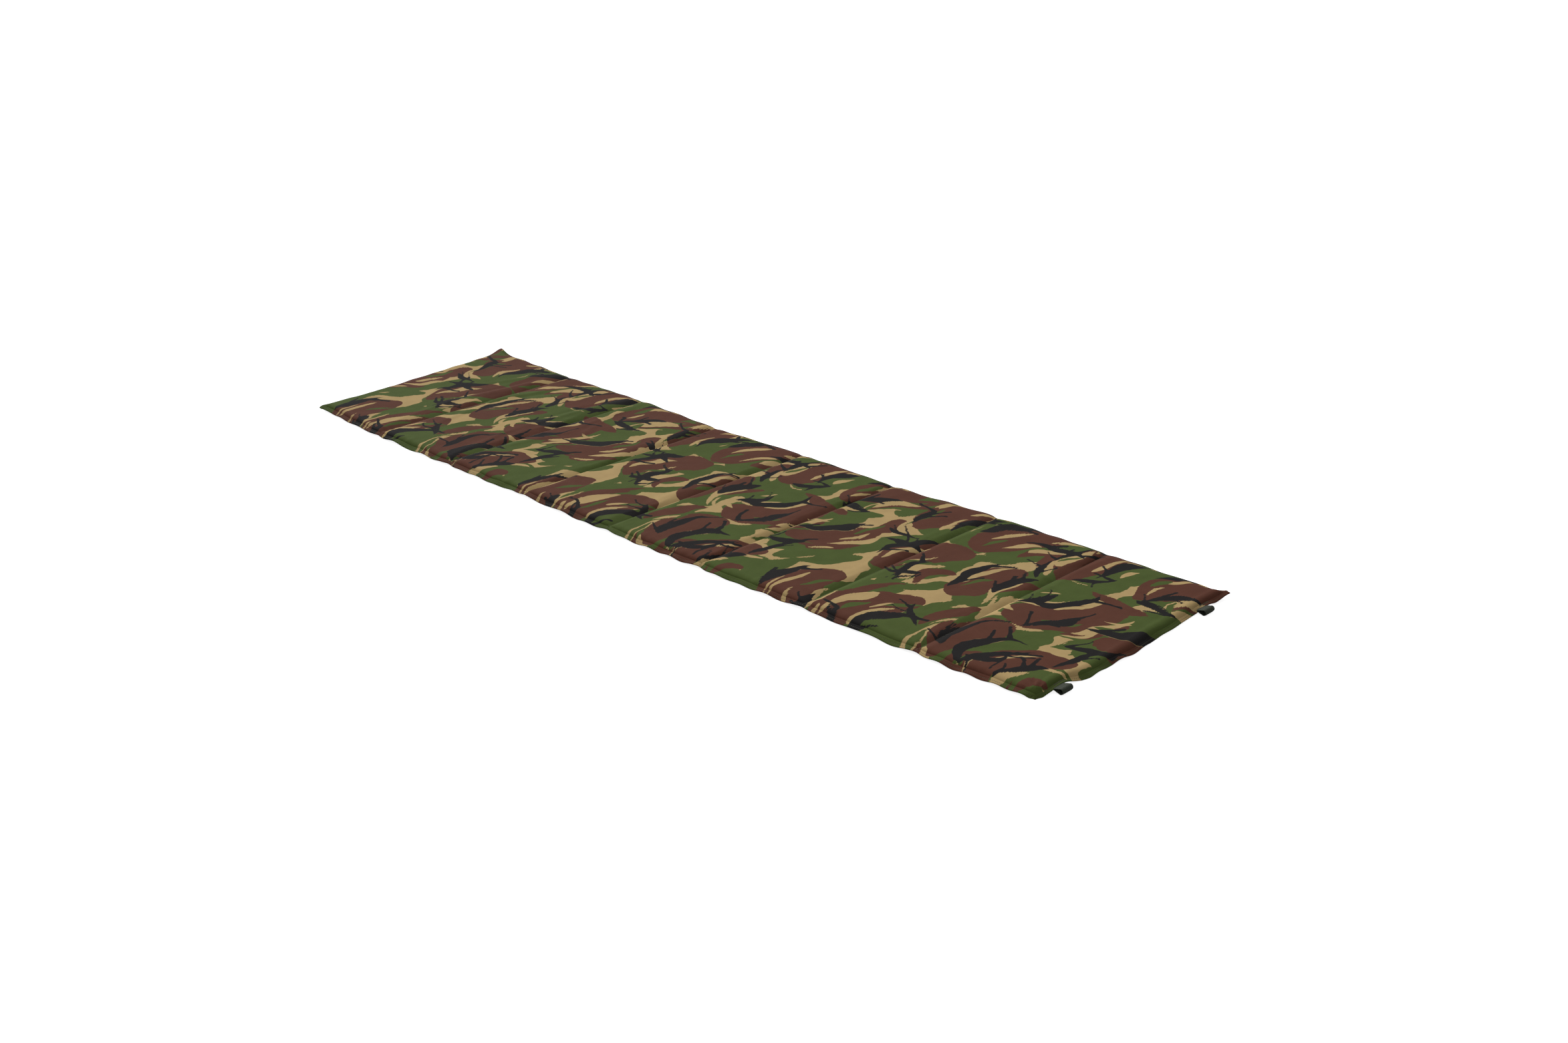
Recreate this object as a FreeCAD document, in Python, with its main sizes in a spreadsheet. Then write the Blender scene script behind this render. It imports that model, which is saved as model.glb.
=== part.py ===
import FreeCAD, Part
import math
import os
import Sketcher

# A long folding ground mat: eight padded panels in a row, joined by seven sewn folds.
# Each panel is a foam slab between a top and a base cover, with a flat sewn hem round it.
# Between two panels the covers are sewn together into a flat strip, the fold web.
# The web turns on both of its long edges, so a panel can lie back on its neighbour.
# Frame: +X along the mat to the end with the strap loops, +Y across it, +Z up.
# The origin is under the middle of the whole object, at floor level. Millimetres.

PANELS = 8
FOLDS = PANELS - 1
HEAD, FOOT = 1, PANELS

SIZES = {
    "panel_count": PANELS,
    "mat_length": 1900,
    "mat_width": 500,
    "pad_height": 14,
    "cover_thick": 1,
    "rim_inset": 2.5,
    "slope_width": 18,
    "edge_slope": 14,
    "foam_corner": 6,
    "fold_width": 18,
    "fold_thick": 1.6,
    "fold_gap": 1.1,
    "hem_width": 9,
    "hem_thick": 2.4,
    "thread_width": 1.2,
    "thread_height": 0.4,
    "thread_inset": 3,
    "webbing_width": 26,
    "webbing_thick": 1.6,
    "loop_radius": 6.4,
    "loop_centre": 10,
    "loop_neck": 3.4,
    "loop_gap": 1.9,
    "loop_inset": 60,
    "bar_tack_width": 2,
    "bar_tack_height": 0.5,
    "bar_tack_inset": 5.5,
}

doc = FreeCAD.newDocument("folding_mat")
sheet = doc.addObject("Spreadsheet::Sheet", "Sizes")
for row, (alias, value) in enumerate(SIZES.items(), start=1):
    sheet.set(f"A{row}", alias)
    sheet.set(f"B{row}", str(value))
    sheet.setAlias(f"B{row}", alias)
doc.recompute()

# Expressions that several pieces share.
PITCH = "Sizes.mat_length / Sizes.panel_count"
SEAM_HEIGHT = "Sizes.pad_height / 2"
LOOP_REACH = "(Sizes.loop_gap + Sizes.loop_centre + Sizes.loop_radius)"
HEAD_EDGE = f"-(Sizes.mat_length + {LOOP_REACH}) / 2"
FOOT_EDGE = f"(Sizes.mat_length - {LOOP_REACH}) / 2"
PILLOW_HALF = "(Sizes.mat_width / 2 - Sizes.hem_width)"
HEM_TOP = f"({SEAM_HEIGHT} + Sizes.hem_thick / 2)"
FOLD_SETBACK = "(Sizes.fold_width / 2 + Sizes.fold_gap)"

nodes = []


def bind(item, **expressions):
    """Ties an object's properties to the sheet; a double underscore stands for a dot."""
    for name, expression in expressions.items():
        item.setExpression(name.replace("__", "."), expression)
    return item


def place(item, x="0", y="0", z="0"):
    """Ties an object's position to the sheet."""
    return bind(item, Placement__Base__x=x, Placement__Base__y=y, Placement__Base__z=z)


def keep(item, label):
    """Names a finished sub-part, which is exported under this label."""
    item.Label = label
    nodes.append(item)
    return item


def box(x, y, z, length, width, height):
    """A rectangular block from its lowest corner."""
    block = doc.addObject("Part::Box", "Block")
    bind(block, Length=length, Width=width, Height=height)
    return place(block, x, y, z)


def group(label, pieces):
    """Separate solids that share one node."""
    compound = doc.addObject("Part::Compound", "Group")
    compound.Links = pieces
    return keep(compound, label)


def edge_inset(panel, side):
    """How far a panel's pillow starts inside its share of the mat's length."""
    outer = (panel, side) in ((HEAD, "left"), (FOOT, "right"))
    return "Sizes.hem_width" if outer else FOLD_SETBACK


def edge_run(panel, side):
    """How wide the pillow's slope is at a panel's left or right side."""
    outer = (panel, side) in ((HEAD, "left"), (FOOT, "right"))
    return "Sizes.edge_slope" if outer else "Sizes.slope_width"


def panel_start(panel):
    return f"{HEAD_EDGE} + {panel - 1} * {PITCH} + {edge_inset(panel, 'left')}"


def panel_length(panel):
    return f"({PITCH} - {edge_inset(panel, 'left')} - {edge_inset(panel, 'right')})"


def fold_line(fold):
    return f"{HEAD_EDGE} + {fold} * {PITCH}"


def frustum(length, half, low, high, low_insets, high_insets):
    """A block whose sides slope evenly from its low outline to its high one.
    Insets are given for the left, the right and both long sides. Height runs along the
    wedge's own Y axis, so the sub-part that holds it is turned a quarter about X."""
    wedge = doc.addObject("Part::Wedge", "Slope")
    left, right, long_side = low_insets
    bind(wedge, Ymin=low, Xmin=left, Xmax=f"{length} - {right}")
    bind(wedge, Zmin=f"{long_side} - {half}", Zmax=f"{half} - {long_side}")
    left, right, long_side = high_insets
    bind(wedge, Ymax=high, X2min=left, X2max=f"{length} - {right}")
    bind(wedge, Z2min=f"{long_side} - {half}", Z2max=f"{half} - {long_side}")
    return wedge


def cover(label, panel, quarter_turn):
    """One side's fabric over a panel: an upright rim, slopes and a flat face, hollow inside.
    It is built outwards from the seam plane and turned up or down by a quarter turn."""
    length = panel_length(panel)
    left = edge_run(panel, "left")
    right = edge_run(panel, "right")
    flush = ("0", "0", "0")
    rim = ("Sizes.rim_inset",) * 3
    slopes = (left, right, "Sizes.edge_slope")
    rim_top = "Sizes.hem_thick / 2"
    rim_block = frustum(length, PILLOW_HALF, "0", rim_top, flush, flush)
    slope_block = frustum(length, PILLOW_HALF, rim_top, SEAM_HEIGHT, flush, slopes)
    outside = doc.addObject("Part::Fuse", "Outside")
    outside.Base = rim_block
    outside.Tool = slope_block
    inside_top = f"{SEAM_HEIGHT} - Sizes.cover_thick"
    hollow = frustum(length, PILLOW_HALF, "0", inside_top, rim, slopes)
    shell = doc.addObject("Part::Cut", "Cover")
    shell.Base = outside
    shell.Tool = hollow
    shell.Placement.Rotation = FreeCAD.Rotation(FreeCAD.Vector(1, 0, 0), quarter_turn)
    place(shell, panel_start(panel), "0", SEAM_HEIGHT)
    return keep(shell, label)


def origin_plane(body, role):
    """One of a body's own base planes."""
    return next(item for item in body.Origin.OriginFeatures if item.Role == role)


def sketch_on(body, role):
    sketch = body.newObject("Sketcher::SketchObject", "Outline")
    sketch.AttachmentSupport = (origin_plane(body, role), [""])
    sketch.MapMode = "FlatFace"
    return sketch


def constrain(sketch, name, expression, *constraint):
    """Adds a measured constraint and ties it to the sheet."""
    index = sketch.addConstraint(Sketcher.Constraint(*constraint))
    sketch.renameConstraint(index, name)
    sketch.setExpression(f"Constraints.{name}", expression)


def padded_body(name, sketch_role):
    body = doc.addObject("PartDesign::Body", name)
    return body, sketch_on(body, sketch_role)


def add_pad(body, sketch, length, both_ways):
    pad = body.newObject("PartDesign::Pad", "Pad")
    pad.Profile = sketch
    if both_ways:
        pad.Midplane = True
    bind(pad, Length=length)
    sketch.Visibility = False
    return pad


def foam_slab(label, panel):
    """The closed-cell foam inside a panel, cut with rounded corners."""
    body, sketch = padded_body("FoamSlab", "XY_Plane")
    left = edge_run(panel, "left")
    length = f"{panel_length(panel)} - {left} - {edge_run(panel, 'right')}"
    half_width = f"{PILLOW_HALF} - Sizes.edge_slope"
    corners = [(0, -1), (2, -1), (2, 1), (0, 1)]
    for (x0, y0), (x1, y1) in zip(corners, corners[1:] + corners[:1]):
        start, end = FreeCAD.Vector(x0, y0, 0), FreeCAD.Vector(x1, y1, 0)
        sketch.addGeometry(Part.LineSegment(start, end), False)
    for side in range(4):
        meet = Sketcher.Constraint("Coincident", side, 2, (side + 1) % 4, 1)
        sketch.addConstraint(meet)
    for side, way in enumerate(("Horizontal", "Vertical", "Horizontal")):
        sketch.addConstraint(Sketcher.Constraint(way, side))
    sketch.addConstraint(Sketcher.Constraint("PointOnObject", 3, 1, -2))
    sketch.addConstraint(Sketcher.Constraint("Symmetric", 0, 1, 3, 1, -1))
    constrain(sketch, "length", length, "DistanceX", 0, 1, 0, 2, 2.0)
    constrain(sketch, "width", f"2 * ({half_width})", "DistanceY", 1, 1, 1, 2, 2.0)
    pad = add_pad(body, sketch, "Sizes.pad_height - 2 * Sizes.cover_thick", False)
    doc.recompute()
    rounded = body.newObject("PartDesign::Fillet", "RoundedCorners")
    rounded.Base = (pad, upright_edges(pad.Shape))
    bind(rounded, Radius="Sizes.foam_corner")
    place(body, f"{panel_start(panel)} + {left}", "0", "Sizes.cover_thick")
    return keep(body, label)


def upright_edges(shape):
    """The names of a shape's straight edges along Z."""
    found = []
    for number, edge in enumerate(shape.Edges, start=1):
        if abs(edge.tangentAt(edge.FirstParameter).z) > 0.99:
            found.append(f"Edge{number}")
    return found


def belt(sketch, prefix, sizes, start_radius, end_radius, start_x, end_x):
    """Adds the outline of a belt round two circles whose centres lie on the sketch's X axis.
    The four measures are expressions, and sizes gives their values to draw it with first."""
    r0, r1, x0, x1 = sizes
    lean = math.asin((r1 - r0) / (x1 - x0))
    first = sketch.GeometryCount
    axis = FreeCAD.Vector(0, 0, 1)
    start_circle = Part.Circle(FreeCAD.Vector(x0, 0, 0), axis, r0)
    end_circle = Part.Circle(FreeCAD.Vector(x1, 0, 0), axis, r1)
    up = math.pi / 2 + lean
    touch = [(x0, r0, up), (x1, r1, up), (x0, r0, -up), (x1, r1, -up)]
    ends = [FreeCAD.Vector(x + r * math.cos(a), r * math.sin(a), 0) for x, r, a in touch]
    sketch.addGeometry(Part.ArcOfCircle(start_circle, up, 2 * math.pi - up), False)
    sketch.addGeometry(Part.ArcOfCircle(end_circle, -up, up), False)
    sketch.addGeometry(Part.LineSegment(ends[0], ends[1]), False)
    sketch.addGeometry(Part.LineSegment(ends[2], ends[3]), False)
    start_arc, end_arc, upper, lower = range(first, first + 4)
    for line, line_end, arc, arc_end in (
        (upper, 1, start_arc, 1),
        (upper, 2, end_arc, 2),
        (lower, 1, start_arc, 2),
        (lower, 2, end_arc, 1),
    ):
        sketch.addConstraint(Sketcher.Constraint("Tangent", line, line_end, arc, arc_end))
    sketch.addConstraint(Sketcher.Constraint("PointOnObject", start_arc, 3, -1))
    sketch.addConstraint(Sketcher.Constraint("PointOnObject", end_arc, 3, -1))
    constrain(sketch, f"{prefix}_start_radius", start_radius, "Radius", start_arc, r0)
    constrain(sketch, f"{prefix}_end_radius", end_radius, "Radius", end_arc, r1)
    constrain(sketch, f"{prefix}_start_x", start_x, "DistanceX", -1, 1, start_arc, 3, x0)
    constrain(sketch, f"{prefix}_end_x", end_x, "DistanceX", -1, 1, end_arc, 3, x1)


def fold_web(label, fold):
    """The two covers sewn flat together between panels, rounded where it turns."""
    body, sketch = padded_body("FoldWeb", "XZ_Plane")
    half_width, radius = SIZES["fold_width"] / 2, SIZES["fold_thick"] / 2
    half_thick = "Sizes.fold_thick / 2"
    sizes = (radius, radius, -half_width, half_width)
    left, right = "-Sizes.fold_width / 2", "Sizes.fold_width / 2"
    belt(sketch, "web", sizes, half_thick, half_thick, left, right)
    add_pad(body, sketch, "Sizes.mat_width", True)
    place(body, fold_line(fold), "0", SEAM_HEIGHT)
    return keep(body, label)


def strap_loop(label, side):
    """A short webbing loop that hangs out of the foot hem on its neck."""
    body, sketch = padded_body("StrapLoop", "XZ_Plane")
    thick, radius = SIZES["webbing_thick"], SIZES["loop_radius"]
    centre, neck = SIZES["loop_centre"], SIZES["loop_neck"]
    outer = (thick, radius, 0.0, centre)
    belt(sketch, "outer", outer, "Sizes.webbing_thick", "Sizes.loop_radius", "0",
         "Sizes.loop_centre")
    inner = (thick / 4, radius - thick, neck, centre)
    belt(sketch, "inner", inner, "Sizes.webbing_thick / 4",
         "Sizes.loop_radius - Sizes.webbing_thick", "Sizes.loop_neck", "Sizes.loop_centre")
    add_pad(body, sketch, "Sizes.webbing_width", True)
    across = f"{side} * (Sizes.mat_width / 2 - Sizes.loop_inset)"
    place(body, f"{FOOT_EDGE} + Sizes.loop_gap", across, SEAM_HEIGHT)
    return keep(body, label)


def edge_hem(label, panel):
    """The flat sewn edge along both long sides of a panel."""
    low = f"{SEAM_HEIGHT} - Sizes.hem_thick / 2"
    size = (panel_length(panel), "Sizes.hem_width", "Sizes.hem_thick")
    near = box(panel_start(panel), "-Sizes.mat_width / 2", low, *size)
    far = box(panel_start(panel), PILLOW_HALF, low, *size)
    return group(label, [near, far])


def end_hem(label, edge):
    """The flat sewn edge across one end of the mat, corners included."""
    low = f"{SEAM_HEIGHT} - Sizes.hem_thick / 2"
    size = ("Sizes.hem_width", "Sizes.mat_width", "Sizes.hem_thick")
    return keep(box(edge, "-Sizes.mat_width / 2", low, *size), label)


def edge_thread(label, panel):
    """The top-stitch along a panel's hems, with the run across the mat's end if it has one."""
    inset = "(Sizes.thread_inset + Sizes.thread_width / 2)"
    line = f"(Sizes.mat_width / 2 - {inset})"
    half = "Sizes.thread_width / 2"
    run = (panel_length(panel), "Sizes.thread_width", "Sizes.thread_height")
    start = panel_start(panel)
    runs = [
        box(start, f"-{line} - {half}", HEM_TOP, *run),
        box(start, f"{line} - {half}", HEM_TOP, *run),
    ]
    ends = {HEAD: f"{HEAD_EDGE} + {inset}", FOOT: f"{FOOT_EDGE} - {inset}"}
    if panel in ends:
        across = ("Sizes.thread_width", f"2 * {line}", "Sizes.thread_height")
        runs.append(box(f"{ends[panel]} - {half}", f"-{line}", HEM_TOP, *across))
    return group(label, runs)


def fold_thread(label, fold):
    """The lockstitch down the middle of a fold web: one thread above and one below."""
    start = f"{fold_line(fold)} - Sizes.thread_width / 2"
    edge = "Sizes.thread_inset - Sizes.mat_width / 2"
    length = "Sizes.mat_width - 2 * Sizes.thread_inset"
    size = ("Sizes.thread_width", length, "Sizes.thread_height")
    half_web = "Sizes.fold_thick / 2"
    upper = box(start, edge, f"{SEAM_HEIGHT} + {half_web}", *size)
    lower = box(start, edge, f"{SEAM_HEIGHT} - {half_web} - Sizes.thread_height", *size)
    return group(label, [upper, lower])


def bar_tack(label, side):
    """The dense row of stitches that holds a strap loop's ends in the foot hem."""
    x = f"{FOOT_EDGE} - Sizes.bar_tack_inset - Sizes.bar_tack_width"
    middle = f"{side} * (Sizes.mat_width / 2 - Sizes.loop_inset)"
    size = ("Sizes.bar_tack_width", "Sizes.webbing_width", "Sizes.bar_tack_height")
    return keep(box(x, f"{middle} - Sizes.webbing_width / 2", HEM_TOP, *size), label)


for panel in range(HEAD, FOOT + 1):
    foam_slab(f"foam_core_{panel}", panel)
    cover(f"top_cover_{panel}", panel, 90)
    cover(f"base_cover_{panel}", panel, -90)
    edge_hem(f"edge_hem_{panel}", panel)
    edge_thread(f"edge_stitching_{panel}", panel)

for fold in range(1, FOLDS + 1):
    fold_web(f"fold_web_{fold}", fold)
    fold_thread(f"fold_stitching_{fold}", fold)

end_hem("end_hem_head", HEAD_EDGE)
end_hem("end_hem_foot", f"{FOOT_EDGE} - Sizes.hem_width")
for name, side in (("near", -1), ("far", 1)):
    strap_loop(f"strap_loop_{name}", side)
    bar_tack(f"bar_tack_{name}", side)

doc.recompute()

for item in doc.Objects:
    if "Invalid" in item.State or "Error" in item.State:
        raise RuntimeError(f"{item.Label} did not compute: {item.State}")
for item in nodes:
    if item.Shape.isNull() or not item.Shape.isValid() or item.Shape.Volume <= 0:
        raise RuntimeError(f"{item.Label} has no valid solid")

os.makedirs("parts", exist_ok=True)
for item in nodes:
    item.Shape.exportStep(f"parts/{item.Label}.step")
print(f"{len(nodes)} sub-parts written")
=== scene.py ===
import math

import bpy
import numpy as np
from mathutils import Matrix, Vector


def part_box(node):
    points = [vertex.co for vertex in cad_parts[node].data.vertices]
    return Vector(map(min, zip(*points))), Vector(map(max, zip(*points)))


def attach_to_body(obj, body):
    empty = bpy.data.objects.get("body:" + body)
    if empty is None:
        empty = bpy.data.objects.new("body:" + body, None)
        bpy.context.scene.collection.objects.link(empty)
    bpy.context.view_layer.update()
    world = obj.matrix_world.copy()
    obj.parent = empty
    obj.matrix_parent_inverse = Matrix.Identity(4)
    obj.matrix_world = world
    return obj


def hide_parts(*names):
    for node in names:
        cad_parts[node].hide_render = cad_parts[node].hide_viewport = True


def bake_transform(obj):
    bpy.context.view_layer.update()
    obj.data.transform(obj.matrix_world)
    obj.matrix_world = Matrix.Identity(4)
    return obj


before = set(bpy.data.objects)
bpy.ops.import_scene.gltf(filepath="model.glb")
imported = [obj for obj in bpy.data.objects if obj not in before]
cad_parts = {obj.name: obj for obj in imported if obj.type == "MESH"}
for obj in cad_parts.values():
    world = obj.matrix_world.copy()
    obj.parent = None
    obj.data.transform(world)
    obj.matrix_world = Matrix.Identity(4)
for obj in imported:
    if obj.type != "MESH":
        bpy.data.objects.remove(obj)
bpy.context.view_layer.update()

# A long padded ground mat lying open: eight foam panels in printed cloth, sewn flat at seven
# folds, a sewn hem all round, and two webbing loops at the foot end.
# Lengths below are millimetres unless a comment says otherwise; meshes are written in metres.

MM = 0.001

# ---------------------------------------------------------------- sizes read from the frame


def box_mm(node):
    """Lowest and highest corner of a CAD node, in millimetres."""
    low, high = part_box(node)
    return np.array(low) / MM, np.array(high) / MM


PANELS = 8
HEAD_EDGE = box_mm("end_hem_head")[0][0]
FOOT_EDGE = box_mm("end_hem_foot")[1][0]
HEAD_HEM = box_mm("end_hem_head")[1][0]
FOOT_HEM = box_mm("end_hem_foot")[0][0]
HEM_OUTER = box_mm("edge_hem_1")[1][1]
HEM_INNER = box_mm("top_cover_1")[1][1]
MIDDLE = box_mm("top_cover_1")[0][2]
TOP = box_mm("top_cover_1")[1][2]
HALF_WEB = (box_mm("fold_web_1")[1][2] - box_mm("fold_web_1")[0][2]) / 2
HALF_HEM = (box_mm("edge_hem_1")[1][2] - box_mm("edge_hem_1")[0][2]) / 2
THREAD_HALF_WIDTH = 0.6
STITCH_LINE = box_mm("edge_stitching_2")[1][1] - THREAD_HALF_WIDTH
FOLDS = [sum(box_mm(f"fold_web_{k}")[i][0] for i in (0, 1)) / 2 for k in range(1, PANELS)]
CENTRES = [(a + b) / 2 for a, b in zip([HEAD_EDGE] + FOLDS, FOLDS + [FOOT_EDGE])]

# spacing of the points along the cloth, the hems and the foam slabs
CLOTH_GRID, HEM_GRID, FOAM_GRID = 3.0, 4.0, 6.0
# the reach to each side of a hinge that is handed to bend() for the cloth and for the webbing
BLEND_REACH, LOOP_BLEND = 6.0, 4.0
# how wide the pad's edges roll down to the hem, and how far the cover reaches into it
ROLLS = {"head": 14.0, "foot": 9.0, "near": 10.5, "far": 14.0}
HEM_LAP = 1.2
# the webbing loops: their middle line, how far they sit in under the foot hem, and how far they
# hang below its middle
LOOP_PLACE = sum(box_mm("strap_loop_far")[i][1] for i in (0, 1)) / 2
LOOP_TUCK = {"near": 12.0, "far": 7.5}
LOOP_DROP = 1.6
WEBBING_THICK = 1.6
STITCH_PITCH = 3.6
STITCH_LENGTH, STITCH_WIDTH, STITCH_HEIGHT = 2.5, 0.8, 0.55
TACK_PITCH, TACK_LENGTH, TACK_WIDTH = 0.85, 2.2, 0.62
ZIGZAG = 0.25         # a bar tack's stitches lean this far to either side, in radians

# ---------------------------------------------------------------- shape of the cloth


def waves(x, y, seed, shortest, longest, count=12):
    """Smooth seeded unevenness of about unit height, from sine waves in all directions."""
    rng = np.random.default_rng(seed)
    total = np.zeros(np.broadcast(x, y).shape)
    for _ in range(count):
        turn, phase = rng.uniform(0, math.tau, 2)
        number = math.tau / rng.uniform(shortest, longest)
        total = total + np.sin(number * (x * math.cos(turn) + y * math.sin(turn)) + phase)
    return total / math.sqrt(count / 2)


def ripple(t, seed, shortest, longest, count=8):
    """The same along one line."""
    rng = np.random.default_rng(seed)
    total = np.zeros(np.shape(t))
    for _ in range(count):
        total = total + np.sin(math.tau / rng.uniform(shortest, longest) * t + rng.uniform(0, math.tau))
    return total / math.sqrt(count / 2)


def crease(x, y, at, heading, length, width, height):
    """One soft ridge (or valley, with a negative height) along a straight line."""
    c, s = math.cos(math.radians(heading)), math.sin(math.radians(heading))
    along = (x - at[0]) * c + (y - at[1]) * s
    across = -(x - at[0]) * s + (y - at[1]) * c
    return height * np.exp(-(across / width) ** 2) * np.exp(-(2 * along / length) ** 4)


# slope width of the valley at each fold; the two nearest the head are slack and wider
VALLEYS = [18.0, 17.0, 14.0, 14.0, 13.0, 14.0, 14.5]
VALLEY_WOBBLE = 0.14  # how unevenly a valley's width runs along its fold
# the lower face's slopes to its seams and its hem, as shares of the upper face's, and their fullness
BASE_VALLEY, BASE_ROLL, BASE_FULLNESS = 1.05, 0.8, 1.0
# soft drag folds in the slack cloth: fold from 0, place from that fold and from the middle
# line, direction in degrees, length, width, height
DRAGS = [
    (0, -31, 60, 84, 250, 8, 1.7), (0, -43, 70, 82, 230, 7, -1.1), (0, -34, -120, 97, 150, 8, 1.5),
    (0, 33, 100, 76, 170, 8, 1.6), (0, 47, 90, 74, 150, 7, -1.1), (0, 36, -60, 101, 200, 9, 1.5),
    (0, -60, 150, 68, 140, 8, 1.3), (1, -32, 110, 85, 260, 8, 1.8), (1, -46, 120, 83, 230, 7, -1.2),
    (1, 34, 130, 96, 190, 8, 1.7), (1, -33, -130, 98, 170, 8, 1.5), (1, 36, -60, 80, 160, 9, 1.4),
    (1, 64, 60, 112, 120, 8, 1.0), (2, -26, 40, 88, 300, 7, 0.8), (3, -25, -60, 92, 260, 7, 0.7),
    (4, -25, 60, 89, 300, 7, 0.7), (5, -26, 20, 91, 320, 7, 0.8), (6, -25, -40, 88, 260, 7, 0.6),
]


def seam_distance(x):
    """Distance from the nearest fold's stitch line, and that fold's number from 0."""
    away = np.abs(np.asarray(x)[..., None] - np.array(FOLDS))
    return away.min(-1), away.argmin(-1)


def smooth_least(a, b, power=5, least=1e-4):
    """A rounded minimum of two numbers from 0 to 1; a lower power rounds it more."""
    a, b = np.clip(a, least, 1), np.clip(b, least, 1)
    return (a ** -power + b ** -power - 1) ** (-1 / power)


def rise(x, y, valley_scale=1.0, roll_scale=1.0, fullness=0.35):
    """0 on the seams and the hem, 1 on the flat of a panel; 0 fullness gives straight slopes."""
    away, fold = seam_distance(x)
    facing = np.sign(x - np.array(FOLDS)[fold])
    wobble = 1 + VALLEY_WOBBLE * ripple(y + 83 * fold + 31 * facing, 31, 70, 190)
    reach = np.array(VALLEYS)[fold] * valley_scale * wobble
    t = np.clip(away / reach, 0, 1)
    valley = t * (1 + fullness * (1 - t))
    ends = np.minimum((x - HEAD_HEM) / ROLLS["head"], (FOOT_HEM - x) / ROLLS["foot"])
    sides = np.minimum((y + HEM_INNER) / ROLLS["near"], (HEM_INNER - y) / ROLLS["far"])
    t = 1 - np.clip(np.minimum(ends, sides) / roll_scale, 0, 1)
    edge = np.sqrt(np.maximum(1 - t * t, 0))
    return smooth_least(valley, edge)


# heights of the broad and the fine unevenness of the upper face, and of the lower face's
UNEVEN, FINE_UNEVEN, BASE_UNEVEN = 0.40, 0.09, 0.10
# small gathers of the upper face: height, and how far they run in from a seam or from the hem
SEAM_GATHER, SEAM_GATHER_REACH = 0.20, 9.0
HEM_GATHER, HEM_GATHER_REACH = 0.24, 14.0
# the pad's end shows as a faint ridge inside the foot hem, and the near foot corner is puckered
RIDGE_HEIGHT, RIDGE_INSET, RIDGE_WIDTH = 0.9, 11.0, 4.0
PUCKER_HEIGHT, PUCKER_RAYS, PUCKER_TURN, PUCKER_RADIUS, PUCKER_WIDTH = 1.3, 14, 0.6, 20.0, 15.0
SLACK = 0.5           # how far the cloth's flat lies below the CAD's top face
HIGHEST = TOP + 1.9   # no bump goes higher
LOWEST = 0.05         # and no cloth goes lower, so that it stays on the ground


def seam_gathers(away, fold, y):
    """Short folds where the seam pulls the cloth in, deepest a little way from it."""
    strength = np.maximum(0.2, 0.4 + 0.6 * ripple(y + 91 * fold, 21, 70, 190))
    gather = ripple(y + 37 * fold, 22, 13, 30)
    place = away / SEAM_GATHER_REACH
    return SEAM_GATHER * strength * gather * place * np.exp(1 - place)


def hem_gathers(x, y):
    """Short folds along the two long hems."""
    side = np.where(y > 0, 31, 77)
    fade = np.exp(-(HEM_INNER - np.abs(y)) / HEM_GATHER_REACH)
    return HEM_GATHER * ripple(x + side, 23, 18, 44) * fade


def corner_puckers(x, y):
    """Folds that fan out from the near foot corner."""
    away = np.hypot(FOOT_HEM - x, y + HEM_INNER)
    around = np.arctan2(y + HEM_INNER, FOOT_HEM - x)
    ring = np.exp(-((away - PUCKER_RADIUS) / PUCKER_WIDTH) ** 2)
    return PUCKER_HEIGHT * np.sin(PUCKER_RAYS * around + PUCKER_TURN) * ring


def top_height(x, y):
    """Height of the upper face of the cloth."""
    lift = rise(x, y)
    away, fold = seam_distance(x)
    bumps = UNEVEN * waves(x, y, 11, 95, 230) + FINE_UNEVEN * waves(x, y, 12, 22, 48)
    bumps = bumps + seam_gathers(away, fold, y)
    bumps = bumps + hem_gathers(x, y)
    for fold_number, dx, dy, heading, length, width, height in DRAGS:
        bumps = bumps + crease(x, y, (FOLDS[fold_number] + dx, dy), heading, length, width, height)
    bumps = bumps + RIDGE_HEIGHT * np.exp(-((FOOT_HEM - RIDGE_INSET - x) / RIDGE_WIDTH) ** 2)
    bumps = bumps + corner_puckers(x, y)
    height = MIDDLE + HALF_WEB + (TOP - MIDDLE - HALF_WEB - SLACK) * lift + bumps * lift ** 0.5
    return np.minimum(height, HIGHEST)


def base_height(x, y):
    """Height of the lower face, which lies flat on the ground."""
    lift = rise(x, y, BASE_VALLEY, BASE_ROLL, BASE_FULLNESS)
    height = MIDDLE - HALF_WEB - (MIDDLE - HALF_WEB - 2 * LOWEST) * lift
    return np.maximum(height + BASE_UNEVEN * waves(x, y, 41, 60, 150), LOWEST)


# how far, and over what length, each fold pulls the two long edges in
NOTCH_FAR, NOTCH_NEAR, NOTCH_REACH = 3.4, 1.8, 12.0
RIM_OUT, RIM_RIPPLE = 0.6, 0.7  # between the folds they lie this far out, and ripple this much
# how steeply the hem droops outward on each side, what share of that the webbing loops and the
# folds hold up, and over what length
DROOP = {"near": 0.48, "far": 0.12, "head": 0.15, "foot": 0.55}
LOOP_HOLD, LOOP_HOLD_REACH = 0.8, 21.0
FOLD_HOLD, FOLD_HOLD_REACH = 0.4, 25.0


def rim(x, side):
    """How far the sewn edge wanders outward: pulled in a little at each fold."""
    away, _ = seam_distance(x)
    notch = np.where(np.asarray(side) > 0, NOTCH_FAR, NOTCH_NEAR)
    rippled = RIM_RIPPLE * ripple(x + 60 * side, 51, 70, 190)
    return rippled - notch * np.exp(-(away / NOTCH_REACH) ** 2) + RIM_OUT


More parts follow.
